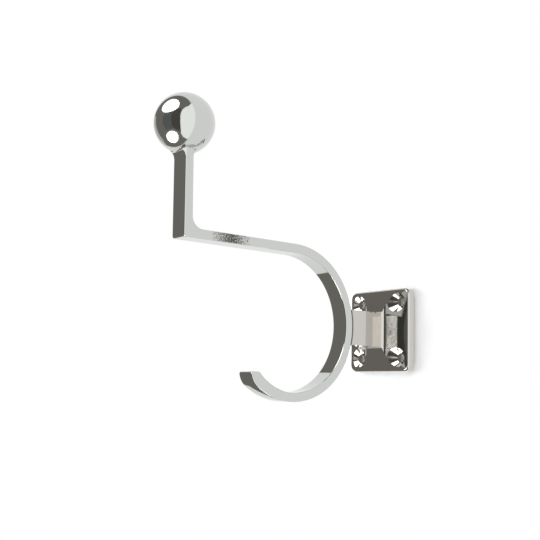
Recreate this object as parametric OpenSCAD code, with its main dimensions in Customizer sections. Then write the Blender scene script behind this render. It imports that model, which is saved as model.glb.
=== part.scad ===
// Wall hook for a hat and a coat. A square plate with a neck holds a flat bar that
// bends down into a J for a coat and up into a stem with a ball for a hat.
// X is the width, the wall is the plane Y = 0, -Y points into the room and +Z is up.

/* [Wall plate] */
// Width and height of the square plate
plate_size = 40; // [38:0.5:48]
// Thickness of the plate at its rim
plate_rim = 3.5; // [3:0.1:5]
// Radius of the plate's four corners
plate_corner_r = 3.5; // [2:0.1:5]
// Bevel round the front edge of the plate
plate_bevel = 0.8; // [0.4:0.1:1.2]
// Slope of the face at its left and right edges, in degrees
side_slope = 6.5; // [4:0.5:9]
// Radius of the slightly hollow curve of the left and right faces
side_curve_r = 190; // [100:10:400]
// Radius of the fillet from the left and right faces to the neck
side_root_r = 2.6; // [1.5:0.1:4]
// Slope of the face at its top and bottom edges, in degrees
end_slope = 14; // [9:0.5:17]
// Radius of the slightly hollow curve of the top and bottom faces
end_curve_r = 500; // [200:10:800]
// Radius of the fillet from the top and bottom faces to the neck
end_root_r = 1.5; // [1:0.1:4]

/* [Neck] */
// Width of the neck
neck_w = 10.2; // [9:0.1:11]
// Height of the neck
neck_h = 16.6; // [16:0.1:18]
// How much the neck widens at each side where it meets the arm
neck_flare = 0.3; // [0.1:0.05:0.6]
// Length of the widened end of the neck
neck_flare_l = 4.6; // [3:0.1:6]

/* [Wall screw holes] */
// Distance between hole centres, across and up
hole_pitch = 27; // [26:0.1:28]
// Diameter of each hole
hole_d = 4.4; // [3.5:0.1:5]
// Diameter of the countersink at the face
countersink_d = 9; // [8:0.1:9.6]

/* [Arm] */
// Width of the flat bar
arm_w = 9.3; // [8:0.1:10]
// Thickness of the flat bar
arm_t = 4.1; // [3.6:0.1:5]
// Bevel along the four edges of the bar
arm_bevel = 0.5; // [0.2:0.05:0.8]
// Outer radius of the J
hook_r = 35.6; // [30:0.2:42]
// Distance from the wall to the back of the J
arm_gap = 25.4; // [23:0.2:30]
// Height of the centre of the J above the centre of the plate
hook_rise = 0.2; // [-2:0.1:2]
// Length of the level part of the bar, from the J to the stem's front
bar_l = 60.9; // [50:0.5:75]
// Height of the underside of the ball's collar above the underside of the bar
stem_l = 34.5; // [28:0.5:50]
// Lean of the stem away from the wall, in degrees
stem_lean = 1; // [0:0.25:4]
// Radius inside the corner of stem and bar
corner_in_r = 5.5; // [3:0.25:8]
// Radius outside the corner of stem and bar
corner_out_r = 1.2; // [0.5:0.1:3]

/* [Tip of the J] */
// Depth of the flat end of the tip below the centre of the J
tip_drop = 22.8; // [20:0.1:25]
// Radius of the inner face near the tip, tighter than the J's, so that the bar gets thicker
tip_in_r = 25.9; // [22:0.1:28]
// Radius of the nose of the tip
tip_nose_r = 8; // [6:0.5:10]
// Angle past the bottom of the J at which the nose starts
tip_nose_start = 35; // [30:1:38]

/* [Ball] */
// Diameter of the ball
ball_d = 26.4; // [22:0.2:32]
// Radius of the fillets from the ball to the sides of the stem
collar_side_r = 3; // [2:0.1:4]
// Radius of the fillets from the ball to the front and back of the stem
collar_face_r = 2.4; // [1.5:0.1:3.5]

/* [Fasteners] */
// Diameter of the two screws that hold the arm to the neck
screw_d = 4; // [3:0.5:4]
// Distance between the two screws
screw_pitch = 8.4; // [8:0.1:8.8]
// Diameter of the screw heads
screw_head_d = 7; // [5.5:0.1:7.6]
// Thickness of the screw heads
screw_head_t = 2.6; // [1.5:0.1:3]
// Depth of the screws in the arm
screw_bite = 2.9; // [2:0.1:3.1]
// Diameter of the stud in the stem and the ball
stud_d = 2.6; // [2:0.1:2.8]
// Depth of the stud in the stem
stud_in_stem = 9; // [6:0.5:12]
// Depth of the stud in the ball
stud_in_ball = 14; // [8:0.5:16]

/* [Hidden] */
$fn = 128;
// Steps in the wide curves of the plate and in the rings of the J
curve_fn = 360;
ring_fn = 240;

// Clearances between the pieces
seat_gap = 0.1;
thread_gap = 0.05;
screw_hole_gap = 0.3;
head_room = 0.5;
stud_end_gap = 0.6;
// Extra length of a cutter past the face it cuts, and past a hollow or round face
over = 1;
well_over = 3;
// The curve of the nose starts this far outside the face, so that it crosses the face
nose_step = 0.05;
chrome = [0.76, 0.77, 0.79];
steel = [0.55, 0.56, 0.58];

// The face of the plate starts inside the bevel, with a small step
face_half = plate_size / 2 - plate_bevel;
face_step = 0.03;
// Mean rise of the face at the screw holes, which sets the depth of the countersinks
hole_rise = 0.7;
sink_depth = (countersink_d - hole_d) / 2;
sink_start = plate_rim + hole_rise - sink_depth;

// The J is drawn in the plane of Y and Z, and its centre lies in front of the neck
hook_y = -arm_gap - hook_r;
hook_in_r = hook_r - arm_t;
bar_under = hook_rise + hook_in_r;
bar_top = bar_under + arm_t;
stem_front = hook_y - bar_l;
neck_reach = arm_gap + well_over;

// Places on the stem are measured up the stem from the underside of the bar
ball_r = ball_d / 2;
// The fillet on the front and back of the stem starts at the foot of the collar
collar_h = sqrt(pow(ball_r + collar_face_r, 2) - pow(arm_t / 2 + collar_face_r, 2));
// Distance from the stem's middle to its bevelled corners, and the fillet there
stem_corner = norm([arm_w / 2 - arm_bevel / 2, arm_t / 2 - arm_bevel / 2]);
collar_corner_r = 2.4;
// Height at which the corner fillet runs into the ball
collar_top = collar_h - ball_r * sqrt(1 - pow((stem_corner + collar_corner_r) / (ball_r + collar_corner_r), 2));

// Pocket in the back of the plate for the heads of the arm screws
pocket_depth = screw_head_t + head_room;
pocket_w = screw_head_d + 2 * head_room;
pocket_h = screw_pitch + screw_head_d + 2 * head_room;
screw_tip = arm_gap + screw_bite;

// Turns a drawing in the plane of Y and Z into a solid that is centred on X
module across(w) {
    rotate([90, 0, 90])
        linear_extrude(w, center = true)
            children();
}

// Upper corner of a hollow section, from the edge of the plate up to the neck.
// The wide curve of the face runs into the fillet, and the fillet into the neck.
module hollow(neck_half, slope, curve_r, root_r) {
    curve_c = [face_half + curve_r * sin(slope), plate_rim + face_step + curve_r * cos(slope)];
    root_x = neck_half + root_r;
    root_y = curve_c[1] - sqrt(pow(curve_r - root_r, 2) - pow(curve_c[0] - root_x, 2));
    root_c = [root_x, root_y];
    way = (root_c - curve_c) / (curve_r - root_r);
    past = curve_c + way * (curve_r + over);
    below = curve_c[1] - curve_r - over;
    translate(root_c)
        circle(root_r);
    translate([neck_half, root_y])
        square([curve_r, neck_reach * 2]);
    intersection() {
        translate(curve_c)
            circle(curve_r, $fn = curve_fn);
        polygon([past, curve_c, [curve_c[0] + curve_r, curve_c[1]], [curve_c[0] + curve_r, below],
            [past[0], below]]);
    }
}

// Section of plate and neck: first axis across the plate, second axis out of the wall
module plate_section(neck_half, slope, curve_r, root_r) {
    difference() {
        translate([-plate_size / 2, 0])
            square([plate_size, neck_reach]);
        for (side = [0, 1])
            mirror([side, 0])
                hollow(neck_half, slope, curve_r, root_r);
    }
}

// Widened end of the neck, added to the section across the plate
module neck_end() {
    flare_r = (pow(neck_flare_l, 2) + pow(neck_flare, 2)) / (2 * neck_flare);
    start = arm_gap - neck_flare_l;
    half = neck_w / 2;
    difference() {
        translate([-half - neck_flare, start])
            square([neck_w + 2 * neck_flare, neck_flare_l + over]);
        for (side = [0, 1])
            mirror([side, 0])
                translate([half + flare_r, start])
                    circle(flare_r, $fn = curve_fn);
    }
}

module rounded_square(size, r) {
    for (turn = [0, 90])
        rotate(turn)
            square([size, size - 2 * r], center = true);
    for (x = [-1, 1], y = [-1, 1])
        translate([x, y] * (size / 2 - r))
            circle(r);
}

// Rim of the plate with its bevel, drawn flat and standing on the wall face
module plate_slab() {
    low = plate_rim - plate_bevel;
    straight = plate_size - 2 * plate_corner_r;
    half = plate_size / 2;
    linear_extrude(low)
        rounded_square(plate_size, plate_corner_r);
    for (turn = [0, 90])
        rotate(turn)
            rotate([90, 0, 0])
                linear_extrude(straight, center = true)
                    polygon([[-half, 0], [half, 0], [half, low], [half - plate_bevel, plate_rim],
                        [plate_bevel - half, plate_rim], [-half, low]]);
    for (x = [-1, 1], y = [-1, 1])
        translate([x * straight / 2, y * straight / 2, low])
            cylinder(h = plate_bevel, r1 = plate_corner_r, r2 = plate_corner_r - plate_bevel);
}

// One wall screw's hole and countersink, drawn along +Z from the wall face
module wall_screw_hole() {
    sink = sink_depth + well_over;
    translate([0, 0, -over])
        cylinder(h = sink_start + 2 * over, d = hole_d);
    translate([0, 0, sink_start])
        cylinder(h = sink, r1 = hole_d / 2, r2 = hole_d / 2 + sink);
}

// Places its children on the face that is drawn flat, so that +Z becomes -Y
module stand_up() {
    rotate([90, 0, 0])
        children();
}

module wall_plate() {
    color(chrome)
        difference() {
            union() {
                stand_up()
                    plate_slab();
                intersection() {
                    linear_extrude(plate_size, center = true)
                        mirror([0, 1])
                            union() {
                                plate_section(neck_w / 2, side_slope, side_curve_r, side_root_r);
                                neck_end();
                            }
                    across(plate_size)
                        rotate(90)
                            plate_section(neck_h / 2, end_slope, end_curve_r, end_root_r);
                    stand_up()
                        linear_extrude(neck_reach)
                            rounded_square(2 * face_half, plate_corner_r - plate_bevel);
                }
            }
            // Saddle in which the back of the J sits
            across(plate_size)
                translate([hook_y, hook_rise])
                    circle(hook_r + seat_gap, $fn = ring_fn);
            stand_up() {
                for (x = [-1, 1], y = [-1, 1])
                    translate([x, y] * hole_pitch / 2)
                        wall_screw_hole();
                translate([-pocket_w / 2, -pocket_h / 2, -over])
                    cube([pocket_w, pocket_h, pocket_depth + over]);
                for (y = [-1, 1])
                    translate([0, y * screw_pitch / 2, 0])
                        cylinder(h = neck_reach, d = screw_d + 2 * screw_hole_gap);
            }
        }
}

// Section of the flat bar: first axis through its thickness, second axis across its width.
// It can be made thicker on the side where the first axis is below or above zero.
module bar_section(more_below = 0, more_above = 0) {
    low = -arm_t / 2 - more_below;
    high = arm_t / 2 + more_above;
    w = arm_w / 2;
    b = arm_bevel;
    polygon([[low, b - w], [low + b, -w], [high - b, -w], [high, b - w],
        [high, w - b], [high - b, w], [low + b, w], [low, w - b]]);
}

// Ring of flat bar in the plane of Y and Z, around the axis X
module bar_ring(mid_r, more_in = 0, more_out = 0) {
    rotate([90, 0, 90])
        rotate_extrude($fn = ring_fn)
            translate([mid_r, 0])
                bar_section(more_in, more_out);
}

// Moves its children to the foot of the stem's front face and leans them with the stem
module on_stem() {
    translate([0, stem_front, bar_under])
        rotate([stem_lean, 0, 0])
            children();
}

// The J, with its tip. The tip starts at the bottom and keeps the J's outer face, and it gets
// thicker because its inner face has a tighter radius. Both rings have the bar's own section
// where they meet.
module j_hook() {
    long = 2 * hook_r;
    translate([0, hook_y, hook_rise]) {
        difference() {
            bar_ring(hook_r - arm_t / 2);
            across(arm_w + 2 * over)
                translate([-long, -long])
                    square([long, 2 * long]);
        }
        intersection() {
            bar_ring(hook_r - arm_t / 2, more_in = arm_t);
            translate([0, 0, tip_in_r - hook_in_r])
                bar_ring(tip_in_r + arm_t / 2, more_out = arm_t);
            across(arm_w + 2 * over)
                translate([-long, -tip_drop - long])
                    square(long);
        }
    }
}

// What is cut away outside the nose of the tip
module nose_cut() {
    turn = -90 - tip_nose_start;
    way = [cos(turn), sin(turn)];
    far = 3 * tip_nose_r;
    across(arm_w + 2 * over)
        translate([hook_y, hook_rise] + (hook_r - tip_nose_r + nose_step) * way)
            difference() {
                polygon([[0, 0], far * way, [-far, -far], [-far, far / 2], [0, far / 2]]);
                circle(tip_nose_r);
            }
}

module hook_arm() {
    corner_c = stem_front + arm_t + corner_in_r;
    color(chrome)
        difference() {
            union() {
                difference() {
                    j_hook();
                    nose_cut();
                }
                // Level bar, which starts inside the foot of the stem
                translate([0, stem_front + arm_t / 2, bar_under + arm_t / 2])
                    rotate([-90, 90, 0])
                        linear_extrude(bar_l - arm_t / 2)
                            bar_section();
                // Stem
                on_stem()
                    translate([0, arm_t / 2, 0])
                        rotate(90)
                            linear_extrude(stem_l)
                                bar_section();
                // Fillet inside the corner
                across(arm_w - 2 * arm_bevel)
                    difference() {
                        translate([stem_front + arm_t / 2, bar_top - arm_t / 2])
                            square([arm_t / 2 + corner_in_r, arm_t / 2 + corner_in_r]);
                        translate([corner_c, bar_top + corner_in_r])
                            circle(corner_in_r);
                    }
            }
            // Rounded outer corner
            across(arm_w + 2 * over)
                difference() {
                    translate([stem_front - over, bar_under - over])
                        square(corner_out_r + over);
                    translate([stem_front + corner_out_r, bar_under + corner_out_r])
                        circle(corner_out_r);
                }
            // Tapped holes for the two arm screws
            for (side = [-1, 1])
                translate([0, well_over - arm_gap, side * screw_pitch / 2])
                    rotate([90, 0, 0])
                        cylinder(h = well_over + screw_bite + thread_gap, d = screw_d + 2 * thread_gap);
            // Tapped hole for the stud
            on_stem()
                translate([0, arm_t / 2, stem_l - stud_in_stem - stud_end_gap])
                    cylinder(h = stud_in_stem + stud_end_gap + over, d = stud_d + 2 * thread_gap);
        }
}

// One half of the collar's outline, from the stem's side out to where the fillet meets the ball.
// Heights are measured from the foot of the collar.
module collar_outline(half, r) {
    rise = sqrt(pow(ball_r + r, 2) - pow(half + r, 2));
    difference() {
        square([half + r, collar_top]);
        translate([half + r, collar_h - rise])
            circle(r);
        translate([half, -over])
            square([r + over, collar_h - rise + over]);
    }
}

// Collar outline on both sides of the stem, drawn upright and made as thick as the ball
module collar_slab(half, r) {
    rotate([90, 0, 0])
        linear_extrude(ball_d, center = true)
            for (side = [0, 1])
                mirror([side, 0])
                    collar_outline(half, r);
}

// Fillets on the sides, on the front and back, and round the four corners of the stem
module collar() {
    intersection() {
        collar_slab(arm_w / 2, collar_side_r);
        rotate(90)
            collar_slab(arm_t / 2, collar_face_r);
        rotate_extrude()
            collar_outline(stem_corner, collar_corner_r);
    }
}

module hat_ball() {
    color(chrome)
        on_stem()
            translate([0, arm_t / 2, stem_l])
                difference() {
                    union() {
                        translate([0, 0, collar_h])
                            sphere(ball_r);
                        collar();
                    }
                    translate([0, 0, -over])
                        cylinder(h = stud_in_ball + stud_end_gap + over, d = stud_d + 2 * thread_gap);
                }
}

module ball_stud() {
    color(steel)
        on_stem()
            translate([0, arm_t / 2, stem_l - stud_in_stem])
                cylinder(h = stud_in_stem + stud_in_ball, d = stud_d);
}

module arm_screws() {
    color(steel)
        stand_up()
            for (side = [-1, 1])
                translate([0, side * screw_pitch / 2, 0]) {
                    translate([0, 0, pocket_depth - screw_head_t])
                        cylinder(h = screw_head_t, d = screw_head_d);
                    translate([0, 0, pocket_depth - over])
                        cylinder(h = screw_tip - pocket_depth + over, d = screw_d);
                }
}

wall_plate();
hook_arm();
hat_ball();
ball_stud();
arm_screws();
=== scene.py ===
"""Hat and coat hook in polished chrome on a white wall."""
import math

import bpy
from bpy.props import FloatProperty, FloatVectorProperty, PointerProperty
from mathutils import Matrix, Vector


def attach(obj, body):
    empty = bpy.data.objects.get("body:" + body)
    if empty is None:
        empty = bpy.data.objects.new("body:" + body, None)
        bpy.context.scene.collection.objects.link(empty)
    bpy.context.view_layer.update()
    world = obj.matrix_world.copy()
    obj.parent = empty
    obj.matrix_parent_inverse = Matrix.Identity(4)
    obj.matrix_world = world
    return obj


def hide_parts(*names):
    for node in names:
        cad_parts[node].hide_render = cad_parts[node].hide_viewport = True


bl_info = {
    "name": "Hat and coat hook",
    "version": (1, 0, 0),
    "blender": (4, 5, 0),
    "location": "3D View > Sidebar > Hook",
    "description": "Builds a chrome wall hook with a ball for a hat and a J for a coat",
    "category": "Object",
}

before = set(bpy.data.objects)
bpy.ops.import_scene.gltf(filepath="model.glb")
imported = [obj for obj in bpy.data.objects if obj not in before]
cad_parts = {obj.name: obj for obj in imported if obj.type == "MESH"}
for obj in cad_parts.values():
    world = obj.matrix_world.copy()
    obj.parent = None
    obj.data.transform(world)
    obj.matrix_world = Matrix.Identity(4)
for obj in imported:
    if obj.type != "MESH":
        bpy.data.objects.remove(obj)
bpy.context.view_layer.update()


class PlateSizes(bpy.types.PropertyGroup):
    size: FloatProperty(
        name="Width", description="Width and height of the square plate",
        default=0.040, unit="LENGTH")
    corner: FloatProperty(
        name="Corner radius", description="Radius of the plate's four corners",
        default=0.0035, unit="LENGTH")
    rim: FloatProperty(
        name="Rim", description="Thickness of the plate at its rim", default=0.0035, unit="LENGTH")
    bevel: FloatProperty(
        name="Bevel", description="Bevel round the front edge", default=0.0008, unit="LENGTH")
    side_slope: FloatProperty(
        name="Side slope", description="Slope of the left and right faces at the rim",
        default=math.radians(8), subtype="ANGLE")
    side_curve: FloatProperty(
        name="Side curve", description="Radius of the hollow of the left and right faces",
        default=0.300, unit="LENGTH")
    side_root: FloatProperty(
        name="Side fillet", description="Fillet from the left and right faces to the neck",
        default=0.0026, unit="LENGTH")
    end_slope: FloatProperty(
        name="End slope", description="Slope of the top and bottom faces at the rim",
        default=math.radians(16), subtype="ANGLE")
    end_curve: FloatProperty(
        name="End curve", description="Radius of the hollow of the top and bottom faces",
        default=0.500, unit="LENGTH")
    end_root: FloatProperty(
        name="End fillet", description="Fillet from the top and bottom faces to the neck",
        default=0.0015, unit="LENGTH")
    neck_w: FloatProperty(
        name="Neck width", description="Width of the neck", default=0.0102, unit="LENGTH")
    neck_h: FloatProperty(
        name="Neck height", description="Height of the neck", default=0.0166, unit="LENGTH")
    flare: FloatProperty(
        name="Flare", description="How much the neck widens at each side of the arm",
        default=0.00013, unit="LENGTH")
    flare_l: FloatProperty(
        name="Flare length", description="Length of the widened end of the neck",
        default=0.0046, unit="LENGTH")
    hole_pitch: FloatProperty(
        name="Hole pitch", description="Distance between hole centres",
        default=0.027, unit="LENGTH")
    hole_d: FloatProperty(
        name="Hole", description="Diameter of the screw holes", default=0.0044, unit="LENGTH")
    sink_d: FloatProperty(
        name="Countersink", description="Diameter of the countersinks",
        default=0.009, unit="LENGTH")
    sink_angle: FloatProperty(
        name="Countersink angle", description="Angle between opposite sides of the countersinks",
        default=math.radians(98), subtype="ANGLE")


class ArmSizes(bpy.types.PropertyGroup):
    width: FloatProperty(
        name="Width", description="Width of the flat bar", default=0.0093, unit="LENGTH")
    thick: FloatProperty(
        name="Thickness", description="Thickness of the flat bar", default=0.0041, unit="LENGTH")
    edge: FloatProperty(
        name="Edge", description="Width of the rounded edges of the bar",
        default=0.0005, unit="LENGTH")
    hook_r: FloatProperty(
        name="J radius", description="Outer radius of the J", default=0.0356, unit="LENGTH")
    gap: FloatProperty(
        name="Gap", description="Distance from the wall to the back of the J",
        default=0.0254, unit="LENGTH")
    rise: FloatProperty(
        name="Rise", description="Height of the J's centre above the plate's centre",
        default=0.0002, unit="LENGTH")
    bar: FloatProperty(
        name="Bar", description="Length of the level bar", default=0.0609, unit="LENGTH")
    stem: FloatProperty(
        name="Stem", description="Height of the ball's collar above the underside of the bar",
        default=0.0345, unit="LENGTH")
    lean: FloatProperty(
        name="Lean", description="Lean of the stem away from the wall",
        default=math.radians(1), subtype="ANGLE")
    corner_in: FloatProperty(
        name="Inner corner", description="Radius inside the corner of stem and bar",
        default=0.0055, unit="LENGTH")
    corner_out: FloatProperty(
        name="Outer corner", description="Radius outside the corner of stem and bar",
        default=0.0012, unit="LENGTH")
    tip_drop: FloatProperty(
        name="Tip drop", description="Depth of the flat end of the tip below the J's centre",
        default=0.0228, unit="LENGTH")
    tip_in: FloatProperty(
        name="Tip inner radius", description="Radius of the inner face near the tip",
        default=0.0259, unit="LENGTH")
    nose: FloatProperty(
        name="Nose", description="Radius of the nose of the tip", default=0.008, unit="LENGTH")
    nose_start: FloatProperty(
        name="Nose start", description="Angle past the bottom of the J at which the nose starts",
        default=math.radians(35), subtype="ANGLE")
    ball_d: FloatProperty(
        name="Ball", description="Diameter of the ball", default=0.0264, unit="LENGTH")
    collar_side: FloatProperty(
        name="Side fillet", description="Fillet from the ball to the sides of the stem",
        default=0.003, unit="LENGTH")
    collar_face: FloatProperty(
        name="Face fillet", description="Fillet from the ball to the front and back of the stem",
        default=0.0024, unit="LENGTH")


class FinishColours(bpy.types.PropertyGroup):
    chrome: FloatVectorProperty(
        name="Chrome", description="Colour of the chrome plating", subtype="COLOR", size=3,
        default=(0.585, 0.60, 0.58), min=0, max=1)
    casting: FloatVectorProperty(
        name="Plated casting", description="Colour of the plating on the cast plate",
        subtype="COLOR", size=3, default=(0.57, 0.55, 0.525), min=0, max=1)
    steel: FloatVectorProperty(
        name="Steel", description="Colour of the hidden screws and stud", subtype="COLOR", size=3,
        default=(0.42, 0.42, 0.43), min=0, max=1)


# Selecting and making shapes, as by hand

# Vertices nearer to each other than this are one
SAME_POINT = 1e-6


def deselect():
    if bpy.context.mode != "OBJECT":
        bpy.ops.object.mode_set(mode="OBJECT")
    bpy.ops.object.select_all(action="DESELECT")


def activate(obj):
    deselect()
    obj.select_set(True)
    bpy.context.view_layer.objects.active = obj


def pick(obj, kind, test):
    """Selects the vertices (VERT) or faces (FACE) that pass the test. Ends in edit mode."""
    bpy.ops.object.mode_set(mode="EDIT")
    bpy.ops.mesh.select_mode(type=kind)
    bpy.ops.mesh.select_all(action="DESELECT")
    bpy.ops.object.mode_set(mode="OBJECT")
    for item in obj.data.vertices if kind == "VERT" else obj.data.polygons:
        item.select = test(item)
    bpy.ops.object.mode_set(mode="EDIT")


class Outline:
    """A closed line drawn by extruding and spinning one vertex, then filled.

    place turns a point of the drawing (a, b) into space, and axis is the drawing's normal
    for which a positive angle turns from a to b."""

    def __init__(self, name, place, axis, start):
        deselect()
        bpy.ops.mesh.primitive_plane_add(size=0.002, location=(0, 0, 0))
        self.obj = bpy.context.object
        self.obj.name = name
        self.place = place
        self.axis = axis
        bpy.ops.object.mode_set(mode="EDIT")
        bpy.ops.mesh.select_mode(type="VERT")
        bpy.ops.mesh.select_all(action="SELECT")
        bpy.ops.mesh.merge(type="CENTER")
        bpy.ops.transform.translate(value=place(*start))
        self.at = start

    def line(self, point):
        step = Vector(self.place(*point)) - Vector(self.place(*self.at))
        bpy.ops.mesh.extrude_region_move(TRANSFORM_OT_translate={"value": step})
        self.at = point

    def arc(self, centre, point, steps, way):
        """Turns about centre to the direction of point. way is 1 from a to b, -1 the other way."""
        a0 = math.atan2(self.at[1] - centre[1], self.at[0] - centre[0])
        a1 = math.atan2(point[1] - centre[1], point[0] - centre[0])
        angle = (a1 - a0) % math.tau
        if way < 0:
            angle -= math.tau
        bpy.ops.mesh.spin(
            steps=steps, angle=-angle, center=self.place(*centre), axis=self.axis, dupli=False)
        self.at = point

    def close(self):
        bpy.ops.mesh.select_all(action="SELECT")
        bpy.ops.mesh.remove_doubles(threshold=SAME_POINT)
        bpy.ops.mesh.select_all(action="SELECT")
        bpy.ops.mesh.edge_face_add()
        bpy.ops.object.mode_set(mode="OBJECT")
        return self.obj

    def solid(self, move):
        """Closes the outline and extrudes it by a vector."""
        obj = self.close()
        activate(obj)
        bpy.ops.object.mode_set(mode="EDIT")
        bpy.ops.mesh.select_all(action="SELECT")
        bpy.ops.mesh.extrude_region_move(TRANSFORM_OT_translate={"value": move})
        outward(obj)
        return obj

    def spun(self, axis, steps):
        """Closes the outline and spins it round an axis through the origin."""
        obj = self.close()
        activate(obj)
        bpy.ops.object.mode_set(mode="EDIT")
        bpy.ops.mesh.select_all(action="SELECT")
        bpy.ops.mesh.delete(type="ONLY_FACE")
        bpy.ops.mesh.select_all(action="SELECT")
        bpy.ops.mesh.spin(
            steps=steps, angle=math.tau, center=(0, 0, 0), axis=axis, dupli=False)
        bpy.ops.mesh.select_all(action="SELECT")
        bpy.ops.mesh.remove_doubles(threshold=SAME_POINT)
        outward(obj)
        return obj


def outward(obj):
    activate(obj)
    bpy.ops.object.mode_set(mode="EDIT")
    bpy.ops.mesh.select_all(action="SELECT")
    bpy.ops.mesh.normals_make_consistent(inside=False)
    bpy.ops.object.mode_set(mode="OBJECT")


def on_yz(x):
    return lambda a, b: (x, a, b)


def on_xz(y):
    return lambda a, b: (a, y, b)


def on_xy(z):
    """Second value points out of the wall, towards -Y."""
    return lambda a, b: (a, -b, z)


def combine(obj, other, how):
    """Boolean of two objects; the second one goes."""
    activate(obj)
    step = obj.modifiers.new("shape", "BOOLEAN")
    step.operation = how
    step.solver = "EXACT"
    step.object = other
    bpy.ops.object.modifier_apply(modifier=step.name)
    bpy.data.objects.remove(other, do_unlink=True)
    return obj


def finish_mesh(obj, angle):
    activate(obj)
    bpy.ops.object.mode_set(mode="EDIT")
    bpy.ops.mesh.select_all(action="SELECT")
    bpy.ops.mesh.remove_doubles(threshold=2 * SAME_POINT)
    bpy.ops.object.mode_set(mode="OBJECT")
    outward(obj)
    bpy.ops.object.transform_apply(location=True, rotation=True, scale=True)
    bpy.ops.object.shade_smooth_by_angle(angle=angle)


def even_normals(obj):
    """Keeps flat faces flat beside rounded edges."""
    activate(obj)
    step = obj.modifiers.new("even_normals", "WEIGHTED_NORMAL")
    step.keep_sharp = True
    step.weight = 80
    bpy.ops.object.modifier_apply(modifier=step.name)


def box(name, low, high):
    deselect()
    middle = [(a + b) / 2 for a, b in zip(low, high)]
    sides = [b - a for a, b in zip(low, high)]
    bpy.ops.mesh.primitive_cube_add(size=1, location=middle, scale=sides)
    obj = bpy.context.object
    obj.name = name
    bpy.ops.object.transform_apply(location=True, rotation=True, scale=True)
    return obj


def dress(obj, material):
    obj.data.materials.clear()
    obj.data.materials.append(material)


# Shader nodes

def feed(tree, node, inputs):
    """Sets a node's inputs. A value is a number, a colour or the socket that it comes from."""
    for key, value in inputs.items():
        if isinstance(value, bpy.types.NodeSocket):
            tree.links.new(value, node.inputs[key])
        else:
            node.inputs[key].default_value = value


def add(tree, kind, inputs=None, **settings):
    """New shader node with its settings and inputs."""
    node = tree.nodes.new("ShaderNode" + kind)
    for key, value in settings.items():
        setattr(node, key, value)
    feed(tree, node, inputs or {})
    return node


def maths(tree, kind, a, b=0, clamp=False):
    return add(tree, "Math", {0: a, 1: b}, operation=kind, use_clamp=clamp).outputs[0]


def product(tree, first, *others):
    for other in others:
        first = maths(tree, "MULTIPLY", first, other)
    return first


def coordinates(tree):
    """Places and normals in the object's own frame, which is the frame of the CAD."""
    return add(tree, "TexCoord").outputs


def split(tree, vector):
    return add(tree, "SeparateXYZ", {0: vector}).outputs


def mix_shaders(tree, share, first, second):
    return add(tree, "MixShader", {0: share, 1: first.outputs[0], 2: second.outputs[0]})


def new_group(name, numbers, outputs, vectors=()):
    """New node group with its sockets. Gives the group, what it is given and what it puts out."""
    group = bpy.data.node_groups.new(name, "ShaderNodeTree")

    def socket(label, way, kind):
        return group.interface.new_socket(label, in_out=way, socket_type="NodeSocket" + kind)

    for label, value in numbers.items():
        socket(label, "INPUT", "Float").default_value = value
    for label in vectors:
        socket(label, "INPUT", "Vector")
    for label, kind in outputs.items():
        socket(label, "OUTPUT", kind)
    given = group.nodes.new("NodeGroupInput").outputs
    return group, given, group.nodes.new("NodeGroupOutput")


def add_group(tree, build, inputs=None):
    """Node with the group that a function builds. The group is built once, under its name."""
    node = add(tree, "Group")
    node.node_tree = bpy.data.node_groups.get(build.__name__) or build(build.__name__)
    feed(tree, node, inputs or {})
    return node


# Effects, as node groups

def plated_surface(name):
    """Unevenness of a polished and plated surface: a roughness and a bumped normal."""
    group, given, out = new_group(
        name, {"Wave Scale": 60, "Wave Depth": 0.05, "Haze Scale": 220,
               "Smooth": 0.04, "Hazy": 0.09},
        {"Roughness": "Float", "Normal": "Vector"})
    place = coordinates(group)["Object"]
    wave = add(group, "TexNoise", {"Vector": place, "Scale": given["Wave Scale"], "Detail": 1.5})
    haze = add(group, "TexNoise", {"Vector": place, "Scale": given["Haze Scale"], "Detail": 4})
    rough = add(group, "MapRange", {
        "Value": haze.outputs["Fac"], "From Min": 0.35, "From Max": 0.70,
        "To Min": given["Smooth"], "To Max": given["Hazy"]})
    bump = add(group, "Bump", {
        "Distance": 0.0004, "Strength": given["Wave Depth"], "Height": wave.outputs["Fac"]})
    feed(group, out, {"Roughness": rough.outputs["Result"], "Normal": bump.outputs["Normal"]})
    return group


def unpolished_and_painted_light_part(name):
    """Mask of the two places beside the neck that the polishing wheel doesn't reach; it also marks
    where painted reflected light makes the colour lighter.
    """
    group, given, out = new_group(
        name, {"Inner Width": 0.0066, "Half Width": 0.0138, "Half Height": 0.0084,
               "Drop": 0.0012, "Depth": 0.0015, "Edge": 0.0008},
        {"Mask": "Float"})
    at = split(group, coordinates(group)["Object"])

    def soft_step(high, low):
        """Rises from 0 to 1 over the width of the edge, once high is more than low."""
        step = maths(group, "SUBTRACT", high, low)
        return maths(group, "DIVIDE", step, given["Edge"], clamp=True)

    x = maths(group, "ABSOLUTE", at["X"])
    depth = maths(group, "ABSOLUTE", at["Y"])
    z = maths(group, "ABSOLUTE", maths(group, "ADD", at["Z"], given["Drop"]))
    feed(group, out, {"Mask": product(
        group, soft_step(given["Half Width"], x), soft_step(x, given["Inner Width"]),
        soft_step(depth, given["Depth"]), soft_step(given["Half Height"], z))})
    return group


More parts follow.
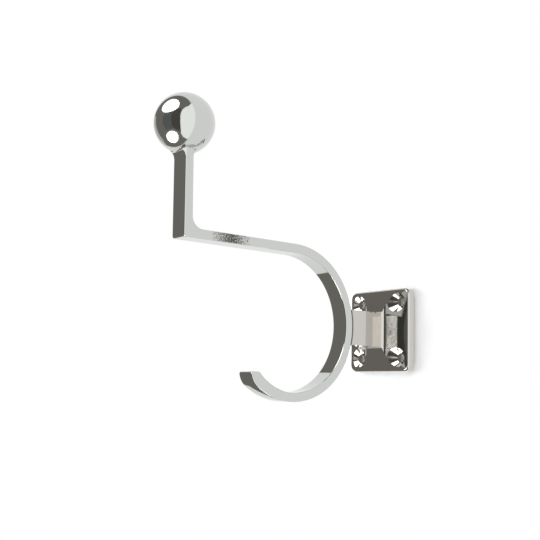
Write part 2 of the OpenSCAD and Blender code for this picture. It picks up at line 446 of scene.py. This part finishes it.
def crowned_tip(name):
    """Normal of a flat bar whose outer face is a little rounded and twisted towards the tip."""
    group, given, out = new_group(
        name, {"Crown": 0.03, "Twist": 0.32, "Half Width": 0.00465, "Start Y": -0.058,
               "Full Y": -0.070, "Start Z": -0.021, "Full Z": -0.0285},
        {"Normal": "Vector"}, vectors=("Normal",))
    at = split(group, coordinates(group)["Object"])
    along, low = (add(group, "MapRange", {
        "Value": at[axis], "From Min": given["Start " + axis], "From Max": given["Full " + axis],
    }).outputs["Result"] for axis in "YZ")
    side = maths(group, "DIVIDE", at["X"], given["Half Width"])
    right = maths(group, "ADD", side, 1)
    lean = add(group, "CombineXYZ", {
        "X": product(group, side, given["Crown"], along, low),
        "Z": product(group, right, given["Twist"], along, low)})
    total = add(group, "VectorMath", {0: given["Normal"], 1: lean.outputs[0]}, operation="ADD")
    unit = add(group, "VectorMath", {0: total.outputs[0]}, operation="NORMALIZE")
    feed(group, out, {"Normal": unit.outputs[0]})
    return group


def grainy_patch(name):
    """Mask of a grainy patch on the right side of the level bar, near the stem."""
    group, given, out = new_group(
        name, {"Middle": -0.0978, "Half Length": 0.0100, "Lowest": 0.028, "Side": 0.8,
               "Strength": 1.1, "Grain": 4.2, "Grain Scale": 1500},
        {"Mask": "Float"})
    coord = coordinates(group)
    at, facing = split(group, coord["Object"]), split(group, coord["Normal"])
    grain = add(group, "TexNoise", {
        "Vector": coord["Object"], "Scale": given["Grain Scale"], "Detail": 3}).outputs["Fac"]
    away = maths(group, "ABSOLUTE", maths(group, "SUBTRACT", at["Y"], given["Middle"]))
    near = maths(group, "SUBTRACT", 1, maths(group, "DIVIDE", away, given["Half Length"]))
    rough = maths(group, "MULTIPLY", maths(group, "SUBTRACT", grain, 0.5), given["Grain"])
    strength = maths(group, "MULTIPLY", near, given["Strength"])
    shown = maths(group, "ADD", strength, rough, clamp=True)
    feed(group, out, {"Mask": product(
        group, shown, maths(group, "GREATER_THAN", near, 0),
        maths(group, "GREATER_THAN", at["Z"], given["Lowest"]),
        maths(group, "GREATER_THAN", facing["X"], given["Side"]))})
    return group


# Metals

def metal(name, colour, wave_scale=60, wave_depth=0.05, smooth=0.035, hazy=0.08):
    """Always a new material, under a name that the CAD's own materials don't have."""
    material = bpy.data.materials.new(name)
    material.use_nodes = True
    tree = material.node_tree
    polish = add_group(tree, plated_surface, {
        "Wave Scale": wave_scale, "Wave Depth": wave_depth,
        "Smooth": smooth, "Hazy": hazy}).outputs
    feed(tree, tree.nodes["Principled BSDF"], {
        "Base Color": (*colour, 1), "Metallic": 1,
        "Roughness": polish["Roughness"], "Normal": polish["Normal"]})
    return material


def tint(tree, mask, colour):
    """Changes the metal's own colour to another one where the mask is."""
    own = tree.nodes["Principled BSDF"].inputs["Base Color"]
    tone = add(tree, "Mix", {
        "Factor": mask, 6: own.default_value, 7: (*colour, 1)}, data_type="RGBA")
    tree.links.new(tone.outputs[2], own)


def dull_and_paint_light_near_neck(material, roughness, spread, painted_light_colour):
    """Makes a plated metal rougher and slightly mottled in its unpolished part, and paints it
    lighter there: painted reflected light.
    """
    tree = material.node_tree
    mask = add_group(tree, unpolished_and_painted_light_part).outputs["Mask"]
    grain = add(tree, "TexNoise", {
        "Vector": coordinates(tree)["Object"], "Scale": 900, "Detail": 3})
    dull = add(tree, "MapRange", {
        "Value": grain.outputs["Fac"], "From Min": 0.3, "From Max": 0.7,
        "To Min": roughness - spread, "To Max": roughness + spread})
    own = tree.nodes["Principled BSDF"].inputs["Roughness"]
    mix = add(tree, "Mix", {
        "Factor": mask, "A": own.links[0].from_socket, "B": dull.outputs["Result"]})
    tree.links.new(mix.outputs["Result"], own)
    # Painted reflected light: the colour turns lighter where the mask is
    tint(tree, mask, painted_light_colour)
    return material


def finish_bar(material, dark):
    """Adds the crown and the twist of the tip, and the grainy patch, to the bar's metal."""
    tree = material.node_tree
    own = tree.nodes["Principled BSDF"].inputs["Normal"]
    crown = add_group(tree, crowned_tip, {"Normal": own.links[0].from_socket})
    tree.links.new(crown.outputs["Normal"], own)
    tint(tree, add_group(tree, grainy_patch).outputs["Mask"], dark)
    return material


# Wall plate

# The shapes that cut or limit another one run past it by about this much
OVER = 0.001
# Length of the cylinders that cut the saddle and the bores, and middle of the bores'
THROUGH = 0.06
BORE_Y = -0.02
# Length of the column that limits the plate, which is longer than the neck
COLUMN = 0.04
# The column starts its bevel this much further in, so that no two faces coincide
COLUMN_DROP = 0.0001
# Steps of the rounded front edge, as shares of the bevel's width and depth
ROUNDED_EDGE = ((0.07, 0.17), (0.19, 0.26), (0.5, 0.5), (0.22, 0.16), (0.07, 0.07))
# The sloping faces carry the mouths of the countersinks this far above the rim
SINK_RISE = 0.0006
# Room between the saddle and the J
SADDLE_GAP = 0.0001
# Pocket in the back for the heads of the arm screws, and the bores of these screws
POCKET_HALF_W, POCKET_DEPTH, POCKET_HALF_H = 0.004, 0.0031, 0.0082
ARM_SCREW_R, ARM_SCREW_Z = 0.0023, 0.0042


def hollow_points(half, face_half, rim, slope, curve, root):
    """Centres of the hollow curve and of the fillet on the right side, and where they meet."""
    c1 = (face_half + curve * math.sin(slope), rim + curve * math.cos(slope))
    root_x = half + root
    root_y = c1[1] - math.sqrt((curve - root) ** 2 - (c1[0] - root_x) ** 2)
    way = ((root_x - c1[0]) / (curve - root), (root_y - c1[1]) / (curve - root))
    meet = (c1[0] + way[0] * curve, c1[1] + way[1] * curve)
    return c1, (root_x, root_y), meet


def section_outline(name, place, axis, half, p, slope, curve, root, top, flare=0, flare_l=0):
    """Outline of plate and neck, seen along the wall: up the right side and down the left."""
    wide = p.size / 2 + OVER
    c1, c2, meet = hollow_points(half, p.size / 2 - p.bevel, p.rim, slope, curve, root)
    edge_y = c1[1] - math.sqrt(curve ** 2 - (c1[0] - wide) ** 2)
    line = Outline(name, place, axis, (wide, -OVER))
    line.line((wide, edge_y))
    line.arc(c1, meet, 24, -1)
    line.arc(c2, (half, c2[1]), 24, -1)
    if flare:
        flare_r = (flare_l ** 2 + flare ** 2) / (2 * flare)
        line.line((half, top - flare_l))
        line.arc((half + flare_r, top - flare_l), (half + flare, top), 8, -1)
        line.line((half + flare, top + 2 * OVER))
        line.line((-half - flare, top + 2 * OVER))
        line.line((-half - flare, top))
        line.arc((-half - flare_r, top - flare_l), (-half, top - flare_l), 8, -1)
    else:
        line.line((half, top + 2 * OVER))
        line.line((-half, top + 2 * OVER))
    line.line((-half, c2[1]))
    line.arc((-c2[0], c2[1]), (-meet[0], meet[1]), 24, -1)
    line.arc((-c1[0], c1[1]), (-wide, edge_y), 24, -1)
    line.line((-wide, -OVER))
    return line


def plate_body(p, top):
    """What three shapes share: the sections across and upright, and the column of the rim."""
    span = p.size + 4 * OVER
    plate = section_outline(
        "plate_across", on_xy(-span / 2), (0, 0, -1), p.neck_w / 2, p,
        p.side_slope, p.side_curve, p.side_root, top, p.flare, p.flare_l).solid((0, 0, span))
    up = section_outline(
        "plate_up", lambda a, b: (-span / 2, -b, a), (1, 0, 0), p.neck_h / 2, p,
        p.end_slope, p.end_curve, p.end_root, top).solid((span, 0, 0))
    combine(plate, up, "INTERSECT")
    combine(plate, plate_envelope(p), "INTERSECT")
    return plate


def plate_envelope(p):
    """Column with rounded corners that carries the bevel of the rim."""
    half, r = p.size / 2, p.corner
    flat = half - r
    line = Outline("plate_edge", on_xz(0), (0, -1, 0), (half, -flat))
    line.line((half, flat))
    line.arc((flat, flat), (flat, half), 16, 1)
    line.line((-flat, half))
    line.arc((-flat, flat), (-half, flat), 16, 1)
    line.line((-half, -flat))
    line.arc((-flat, -flat), (-flat, -half), 16, 1)
    line.line((flat, -half))
    line.arc((flat, -flat), (half, -flat), 16, 1)
    body = line.solid((0, -(p.rim - p.bevel - COLUMN_DROP), 0))
    pick(body, "FACE", lambda face: face.normal.y < -0.9)
    for inset, depth in ROUNDED_EDGE:
        bpy.ops.mesh.inset(thickness=p.bevel * inset, depth=p.bevel * depth)
    bpy.ops.mesh.extrude_region_move(TRANSFORM_OT_translate={"value": (0, -COLUMN, 0)})
    outward(body)
    return body


def screw_hole_cutter(p):
    """Bore and countersink, drawn round the axis of Y at the origin and spun into a solid."""
    r1, r2 = p.hole_d / 2, p.sink_d / 2
    sink = (r2 - r1) / math.tan(p.sink_angle / 2)
    start = p.rim + SINK_RISE - sink
    deep = sink + 3 * OVER
    line = Outline("hole", on_xy(0), (0, 0, -1), (0, -OVER))
    line.line((r1, -OVER))
    line.line((r1, start))
    line.line((r1 + deep * math.tan(p.sink_angle / 2), start + deep))
    line.line((0, start + deep))
    return line.spun((0, 1, 0), 96)


def copy_to(obj, move):
    activate(obj)
    bpy.ops.object.duplicate()
    twin = bpy.context.object
    bpy.ops.transform.translate(value=move)
    bpy.ops.object.transform_apply(location=True, rotation=False, scale=False)
    return twin


def cut_cylinder(radius, middle, turn, sides=96):
    deselect()
    bpy.ops.mesh.primitive_cylinder_add(
        vertices=sides, radius=radius, depth=THROUGH, location=middle, rotation=turn)
    bpy.ops.object.transform_apply(location=True, rotation=True, scale=True)
    return bpy.context.object


class HOOK_OT_wall_plate(bpy.types.Operator):
    """Square plate with hollow faces, neck, saddle and screw holes"""

    bl_idname = "hook.wall_plate"
    bl_label = "Wall plate"

    def execute(self, context):
        p, arm = context.scene.hook_plate, context.scene.hook_arm
        plate = plate_body(p, arm.gap)
        plate.name = "wall_plate_casting"
        centre = (0, -arm.gap - arm.hook_r, arm.rise)
        saddle = cut_cylinder(arm.hook_r + SADDLE_GAP, centre, (0, math.pi / 2, 0), 240)
        combine(plate, saddle, "DIFFERENCE")
        hole = screw_hole_cutter(p)
        for x in (-1, 1):
            for z in (-1, 1):
                twin = copy_to(hole, (x * p.hole_pitch / 2, 0, z * p.hole_pitch / 2))
                combine(plate, twin, "DIFFERENCE")
        bpy.data.objects.remove(hole, do_unlink=True)
        pocket = box("pocket", (-POCKET_HALF_W, -POCKET_DEPTH, -POCKET_HALF_H),
                     (POCKET_HALF_W, OVER, POCKET_HALF_H))
        combine(plate, pocket, "DIFFERENCE")
        for z in (-ARM_SCREW_Z, ARM_SCREW_Z):
            bore = cut_cylinder(ARM_SCREW_R, (0, BORE_Y, z), (math.pi / 2, 0, 0))
            combine(plate, bore, "DIFFERENCE")
        finish_mesh(plate, math.radians(5))
        even_normals(plate)
        casting = metal("polished_casting", context.scene.hook_finish.casting,
                        wave_scale=90, wave_depth=0.08, smooth=0.05, hazy=0.10)
        # Beside the neck the casting is rougher, and painted lighter as painted reflected light
        dress(plate, dull_and_paint_light_near_neck(
            casting, roughness=0.5, spread=0.12, painted_light_colour=(0.97, 0.93, 0.88)))
        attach(plate, "root")
        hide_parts("wall_plate")
        return {"FINISHED"}


# Arm

# How far the stem runs into the ball's collar
STEM_IN_COLLAR = 0.0006
# Radius of the edge between the flat end of the tip and its nose
TIP_EDGE = 0.0011


def stem_place(arm, along, up):
    """Point on the leaning stem: distance from its front face, and height up the stem."""
    front = -arm.gap - arm.hook_r - arm.bar
    under = arm.rise + arm.hook_r - arm.thick
    s, c = math.sin(arm.lean), math.cos(arm.lean)
    return (front + along * c - up * s, under + along * s + up * c)


def bar_outline(a):
    """Side of the arm, from the front of the stem down and round to its back."""
    t, r_out = a.thick, a.hook_r
    r_in = r_out - t
    cy, cz = -a.gap - r_out, a.rise
    under, top = cz + r_in, cz + r_out
    front = cy - a.bar
    stem_top = a.stem + STEM_IN_COLLAR
    line = Outline("hook_arm_bar", on_yz(-a.width / 2), (1, 0, 0), stem_place(a, 0, stem_top))
    # Outer corner, underside of the level bar and inner face of the J
    r = a.corner_out
    line.line((front - r * math.tan(a.lean), under + r))
    line.arc((front + r, under + r), (front + r, under), 12, 1)
    line.line((cy, under))
    line.arc((cy, cz), (cy, cz - r_in), 90, -1)
    # Inner face of the tip
    tip_z = cz + a.tip_in - r_in
    level = cz - a.tip_drop
    inner_y = cy - math.sqrt(a.tip_in ** 2 - (level - tip_z) ** 2)
    line.arc((cy, tip_z), (inner_y, level), 30, -1)
    # Flat end, its outer edge and the nose of the tip
    turn = -math.pi / 2 - a.nose_start
    nose = (cy + (r_out - a.nose) * math.cos(turn), cz + (r_out - a.nose) * math.sin(turn))
    nose_y = nose[0] - math.sqrt(a.nose ** 2 - (level - nose[1]) ** 2)
    line.line((nose_y + TIP_EDGE, level))
    line.arc((nose_y + TIP_EDGE, level - TIP_EDGE), (nose_y, level - TIP_EDGE), 8, 1)
    line.arc(nose, (cy + r_out * math.cos(turn), cz + r_out * math.sin(turn)), 20, 1)
    # Outer face of the J, top of the level bar and back of the stem
    line.arc((cy, cz), (cy, top), 107, 1)
    r, back = a.corner_in, front + t
    line.line((back + r, top))
    line.arc((back + r, top + r), (back, top + r), 24, -1)
    line.line(stem_place(a, t, stem_top))
    return line


class HOOK_OT_arm(bpy.types.Operator):
    """Flat bar: stem, level bar and J with its tip, in one piece"""

    bl_idname = "hook.arm"
    bl_label = "Arm"

    def execute(self, context):
        a = context.scene.hook_arm
        bar = bar_outline(a).solid((a.width, 0, 0))
        activate(bar)
        round_edges = bar.modifiers.new("round_edges", "BEVEL")
        round_edges.width = a.edge
        round_edges.segments = 4
        round_edges.limit_method = "ANGLE"
        round_edges.angle_limit = math.radians(50)
        round_edges.use_clamp_overlap = False
        bpy.ops.object.modifier_apply(modifier=round_edges.name)
        finish_mesh(bar, math.radians(25))
        even_normals(bar)
        chrome = metal("polished_bar", context.scene.hook_finish.chrome)
        dress(bar, finish_bar(chrome, dark=(0.10, 0.09, 0.08)))
        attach(bar, "root")
        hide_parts("hook_arm")
        return {"FINISHED"}


# Ball

# The collar's fillets run a little into the ball, and the collar stands proud of the stem by
# a little, so that their surfaces cross cleanly
COLLAR_IN_BALL = 0.0001
COLLAR_PROUD = 0.00001
# Fillet at the four corners of the stem
COLLAR_CORNER = 0.0034
# How far the shapes of the collar run on inside the ball, past the end of their fillet
RUN_ON = 0.0006
CORNER_RUN_ON = 0.0002
# Vertices of the collar and the ball's lower part nearer to each other than this are one
SEAM_MERGE = 0.00003
# A rounded edge cuts the bar's corner by its width divided by this
EDGE_CUT = 3.4
# Half the length of the shapes that the collar is cut from, and how far the last one starts
# below the end of the stem
COLLAR_REACH = 0.012
COLLAR_FOOT = 0.0005


def fillet(half, r, ball_r, height):
    """Centre of a fillet between stem and ball, and the point where it meets the ball."""
    x = half + r
    rise = math.sqrt((ball_r + r) ** 2 - x ** 2)
    low = height - rise
    return (x, low), (x - r * x / (ball_r + r), low + r * rise / (ball_r + r))


def collar_outline(name, place, axis, half, r, ball_r, height, top):
    """Stem below, fillets that open towards the ball, then outwards inside the ball."""
    (x, low), (end_x, end_z) = fillet(half, r, ball_r, height)
    wide, level = end_x + RUN_ON, end_z + RUN_ON
    line = Outline(name, place, axis, (half, 0))
    line.line((half, low))
    line.arc((x, low), (end_x, end_z), 20, -1)
    line.line((wide, level))
    line.line((wide, top + OVER))
    line.line((-wide, top + OVER))
    line.line((-wide, level))
    line.line((-end_x, end_z))
    line.arc((-x, low), (-half, low), 20, -1)
    line.line((-half, 0))
    return line


def stem_corner(a):
    """Distance from the middle of the stem to its rounded corners."""
    cut = a.edge / EDGE_CUT
    return math.hypot(a.width / 2 - cut, a.thick / 2 - cut)


def collar(a, ball_r, height, top):
    """What three shapes share: sides, front and back, and corners. Stands on the origin."""
    inner_r = ball_r - COLLAR_IN_BALL
    side = collar_outline(
        "collar_side", on_xz(-COLLAR_REACH), (0, -1, 0), a.width / 2 + COLLAR_PROUD,
        a.collar_side, inner_r, height, top).solid((0, 2 * COLLAR_REACH, 0))
    face = collar_outline(
        "collar_face", on_yz(-COLLAR_REACH), (1, 0, 0), a.thick / 2 + COLLAR_PROUD,
        a.collar_face, inner_r, height, top).solid((2 * COLLAR_REACH, 0, 0))
    combine(side, face, "INTERSECT")
    half = stem_corner(a)
    centre, end = fillet(half, COLLAR_CORNER, inner_r, height)
    turn = Outline("collar_corner", on_xz(0), (0, -1, 0), (0, -COLLAR_FOOT))
    turn.line((half, -COLLAR_FOOT))
    turn.line((half, centre[1]))
    turn.arc(centre, end, 16, -1)
    turn.line((0, end[1] + CORNER_RUN_ON))
    return combine(side, turn.spun((0, 0, 1), 128), "INTERSECT")


class HOOK_OT_ball(bpy.types.Operator):
    """Ball with its collar, which flares out of the stem"""

    bl_idname = "hook.ball"
    bl_label = "Ball"

    def execute(self, context):
        a = context.scene.hook_arm
        r = a.ball_d / 2
        height = math.sqrt((r + a.collar_face) ** 2 - (a.thick / 2 + a.collar_face) ** 2)
        # The fillet at the corners ends highest on the ball
        share = (stem_corner(a) + COLLAR_CORNER) / (r + COLLAR_CORNER)
        top = height - r * math.sqrt(1 - share ** 2)
        deselect()
        bpy.ops.mesh.primitive_uv_sphere_add(
            segments=160, ring_count=112, radius=r, location=(0, 0, height))
        ball = bpy.context.object
        ball.name = "hat_ball_solid"
        bpy.ops.object.transform_apply(location=True, rotation=True, scale=True)
        combine(ball, collar(a, r, height, top), "UNION")
        # Onto the end of the leaning stem
        foot = stem_place(a, a.thick / 2, a.stem)
        activate(ball)
        bpy.ops.transform.rotate(value=-a.lean, orient_axis="X", center_override=(0, 0, 0))
        bpy.ops.transform.translate(value=(0, foot[0], foot[1]))
        bpy.ops.object.transform_apply(location=True, rotation=True, scale=True)
        low = foot[1] + top + OVER
        pick(ball, "VERT", lambda v: v.co.z < low)
        bpy.ops.mesh.remove_doubles(threshold=SEAM_MERGE)
        finish_mesh(ball, math.radians(32))
        dress(ball, metal("polished_ball", context.scene.hook_finish.chrome,
                          wave_scale=30, wave_depth=0.01, smooth=0.06, hazy=0.11))
        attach(ball, "root")
        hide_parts("hat_ball")
        return {"FINISHED"}


class HOOK_OT_fasteners(bpy.types.Operator):
    """Steel finish for the hidden screws and stud"""

    bl_idname = "hook.fasteners"
    bl_label = "Hidden fasteners"

    def execute(self, context):
        steel = metal("brushed_steel", context.scene.hook_finish.steel,
                      wave_scale=200, wave_depth=0.05, smooth=0.25, hazy=0.4)
        for name in ("ball_stud", "arm_screws"):
            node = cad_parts[name]
            if not node.material_slots:
                node.data.materials.append(steel)
            for slot in node.material_slots:
                slot.material = steel
        return {"FINISHED"}


# Stage

# The plate hides the wall inside this distance from its centre, measured along X and Z
COVERED = 0.019
# The shadow on the wall fades out between these distances
SHADOW_FULL, SHADOW_END = 0.020, 0.034
# How much the wall glows by itself where its shadow is full
WALL_GLOW = 0.15
WALL_PAINT = (0.76, 0.775, 0.785, 1)
WALL_GAP = 0.0002
ROOM = (0.205, 0.195, 0.179, 1)
WHITE = (1, 1, 1, 1)

# Camera that matches the photograph: metres and degrees
CAMERA_PLACE = (0.324587, -0.328805, -0.033288)
CAMERA_YAW, CAMERA_PITCH, CAMERA_ROLL = 51.7, 7.76, 1.32
CAMERA_LENS = 61.885

# The middle of the hook, at which the lamps aim
LAMP_AIM = (0, -0.07, 0.02)
# Azimuth, elevation and distance, then width, height and power
LAMPS = {
    "lamp_upper": (106, 48, 1.6, 1.75, 1.25, 22),
    "lamp_lower": (112, -50, 1.6, 1.5, 1.05, 17),
    "lamp_side": (160, 4, 1.3, 0.7, 0.9, 30),
}

# Cards that only reflections see: material, colour, plane, the plane's normal and outline
CARDS = {
    "stage_card_right": ("card_light", (1.25, 1.26, 1.25), on_yz(1.2), (1, 0, 0), (
        (0, -3.6), (-1.1, -3.5), (-1.55, -2.4), (-1.60, -1.2), (-1.53, 0), (-1.43, 0.7),
        (-1.24, 1.15), (-0.96, 1.42), (-0.45, 1.6), (0, 2.4))),
    "stage_card_left": ("card_left", (0.62, 0.61, 0.6), on_yz(-1.5), (1, 0, 0), (
        (0, -0.65), (0, 0.65), (-0.55, 0.6), (-0.62, 0), (-0.55, -0.6))),
    "stage_card_dark": ("card_dark", (0.085, 0.085, 0.078), on_yz(0.7), (1, 0, 0), (
        (-0.9, -1.0), (-0.9, 1.0), (-3.4, 1.9), (-5.5, 2.2), (-5.5, -2.2), (-3.4, -1.9))),
    "stage_card_dim": ("card_dim", (0.135, 0.142, 0.135), on_xz(-5.5), (0, -1, 0), (
        (0.7, -3.0), (0.7, 3.0), (-1.0, 3.2), (-2.6, 2.6), (-3.1, 0), (-2.6, -2.6),
        (-1.0, -3.2))),
}


def bare_material(name):
    """New material with only its output. Gives the material, its nodes and the output."""
    material = bpy.data.materials.new(name)
    material.use_nodes = True
    tree = material.node_tree
    tree.nodes.clear()
    return material, tree, add(tree, "OutputMaterial")


def wall_material(name):
    """White wall that shows the shadow round the plate, and is plain white further out.

    Under the plate, where no light gets in, it doesn't glow, and reflections see through it,
    so that the plate's back reflects the room. From behind it can be seen through."""
    material, tree, out = bare_material(name)
    at = split(tree, coordinates(tree)["Object"])
    x, z = (maths(tree, "ABSOLUTE", at[axis]) for axis in "XZ")
    uncovered = maths(tree, "MAXIMUM", maths(tree, "GREATER_THAN", x, COVERED),
                      maths(tree, "GREATER_THAN", z, COVERED))
    fade = add(tree, "MapRange", {
        "Value": maths(tree, "MAXIMUM", x, z), "From Min": SHADOW_FULL, "From Max": SHADOW_END,
        "To Min": WALL_GLOW}, interpolation_type="SMOOTHSTEP")
    path = add(tree, "LightPath").outputs
    share = add(tree, "Math", {
        0: path["Is Camera Ray"], 1: fade.outputs["Result"], 2: path["Is Glossy Ray"],
    }, operation="MULTIPLY_ADD")
    front = mix_shaders(tree, maths(tree, "MULTIPLY", share.outputs[0], uncovered),
                        add(tree, "BsdfDiffuse", {"Color": WALL_PAINT}),
                        add(tree, "Emission", {"Strength": 1}))
    behind = add(tree, "NewGeometry").outputs["Backfacing"]
    under = maths(tree, "SUBTRACT", path["Is Glossy Ray"], uncovered)
    whole = mix_shaders(tree, maths(tree, "MAXIMUM", behind, under), front,
                        add(tree, "BsdfTransparent"))
    feed(tree, out, {"Surface": whole.outputs[0]})
    return material


def card_material(name, colour):
    """Card of one even brightness that only reflections see."""
    material, tree, out = bare_material(name)
    seen = add(tree, "LightPath").outputs["Is Glossy Ray"]
    mix = mix_shaders(tree, seen, add(tree, "BsdfTransparent"),
                      add(tree, "Emission", {"Color": (*colour, 1)}))
    feed(tree, out, {"Surface": mix.outputs[0]})
    return material


def card(name, material, place, facing, points):
    """Flat reflecting card with a drawn outline."""
    line = Outline(name, place, facing, points[0])
    for point in points[1:]:
        line.line(point)
    obj = line.close()
    dress(obj, material)
    obj.visible_camera = False
    obj.visible_diffuse = False
    obj.visible_shadow = False


def wall(name, material):
    """Large sheet just behind the plate's back."""
    deselect()
    bpy.ops.mesh.primitive_plane_add(size=1)
    obj = bpy.context.object
    obj.name = name
    corners = ((-4, -3), (4, -3), (-4, 4), (4, 4))
    for vertex, (x, z) in zip(obj.data.vertices, corners):
        vertex.co = (x, WALL_GAP, z)
    dress(obj, material)


def direction(az, el):
    """Unit vector; az goes from +X towards the room (-Y), in degrees."""
    a, e = math.radians(az), math.radians(el)
    return Vector((math.cos(e) * math.cos(a), -math.cos(e) * math.sin(a), math.sin(e)))


def soft_light(name, az, el, distance, width, height, power):
    deselect()
    way = direction(az, el)
    bpy.ops.object.light_add(type="AREA", location=Vector(LAMP_AIM) + way * distance)
    lamp = bpy.context.object
    lamp.name = name
    lamp.data.shape = "ELLIPSE"
    lamp.data.size = width
    lamp.data.size_y = height
    lamp.data.energy = power
    lamp.rotation_euler = way.to_track_quat("Z", "Y").to_euler()
    return lamp


def make_world(scene):
    """Even room for reflections and light, and white behind everything for the camera."""
    world = scene.world or bpy.data.worlds.new("world")
    scene.world = world
    world.use_nodes = True
    tree = world.node_tree
    tree.nodes.clear()
    seen = add(tree, "LightPath").outputs["Is Camera Ray"]
    mix = mix_shaders(tree, seen, add(tree, "Background", {"Color": ROOM}),
                      add(tree, "Background", {"Color": WHITE}))
    add(tree, "OutputWorld", {"Surface": mix.outputs[0]})


def make_camera(scene):
    yaw, pitch, roll = (math.radians(v) for v in (CAMERA_YAW, CAMERA_PITCH, CAMERA_ROLL))
    side, out = math.sin(yaw), math.cos(yaw)
    ahead = Vector((-side * math.cos(pitch), out * math.cos(pitch), math.sin(pitch)))
    level = Vector((out, side, 0))
    upright = Vector((side * math.sin(pitch), -out * math.sin(pitch), math.cos(pitch)))
    right = level * math.cos(roll) + upright * math.sin(roll)
    up = upright * math.cos(roll) - level * math.sin(roll)
    deselect()
    bpy.ops.object.camera_add(location=(0, 0, 0))
    camera = bpy.context.object
    camera.name = "photo_camera"
    camera.data.sensor_width = 36
    camera.data.lens = CAMERA_LENS
    camera.data.clip_start = 0.01
    rows = [(right[i], up[i], -ahead[i], CAMERA_PLACE[i]) for i in range(3)]
    camera.matrix_world = Matrix((*rows, (0, 0, 0, 1)))
    scene.camera = camera


class HOOK_OT_stage(bpy.types.Operator):
    """White wall, reflecting cards, lamps and camera"""

    bl_idname = "hook.stage"
    bl_label = "Stage"

    def execute(self, context):
        scene = context.scene
        wall("stage_wall", wall_material("wall_white"))
        for name, (material, colour, place, facing, points) in CARDS.items():
            card(name, card_material(material, colour), place, facing, points)
        lamps = {name: soft_light(name, *values) for name, values in LAMPS.items()}
        # The side lamp only casts the shadow
        lamps["lamp_side"].visible_glossy = False
        make_world(scene)
        make_camera(scene)
        scene.view_settings.view_transform = "Standard"
        return {"FINISHED"}


class HOOK_PT_panel(bpy.types.Panel):
    """Sizes and steps of the hook"""

    bl_label = "Hat and coat hook"
    bl_idname = "HOOK_PT_panel"
    bl_space_type = "VIEW_3D"
    bl_region_type = "UI"
    bl_category = "Hook"

    def draw(self, context):
        layout = self.layout
        scene = context.scene
        for title, group in (("Plate", scene.hook_plate), ("Arm and ball", scene.hook_arm),
                             ("Finish", scene.hook_finish)):
            layout.label(text=title)
            for name in group.__annotations__:
                layout.prop(group, name)
        for step in STEPS:
            layout.operator(step.bl_idname)


STEPS = (HOOK_OT_wall_plate, HOOK_OT_arm, HOOK_OT_ball, HOOK_OT_fasteners, HOOK_OT_stage)
CLASSES = (PlateSizes, ArmSizes, FinishColours, *STEPS, HOOK_PT_panel)


def register():
    for item in CLASSES:
        bpy.utils.register_class(item)
    bpy.types.Scene.hook_plate = PointerProperty(type=PlateSizes)
    bpy.types.Scene.hook_arm = PointerProperty(type=ArmSizes)
    bpy.types.Scene.hook_finish = PointerProperty(type=FinishColours)


def unregister():
    del bpy.types.Scene.hook_plate
    del bpy.types.Scene.hook_arm
    del bpy.types.Scene.hook_finish
    for item in reversed(CLASSES):
        bpy.utils.unregister_class(item)


def main():
    register()
    bpy.ops.hook.wall_plate()
    bpy.ops.hook.arm()
    bpy.ops.hook.ball()
    bpy.ops.hook.fasteners()
    bpy.ops.hook.stage()


if __name__ == "__main__":
    main()
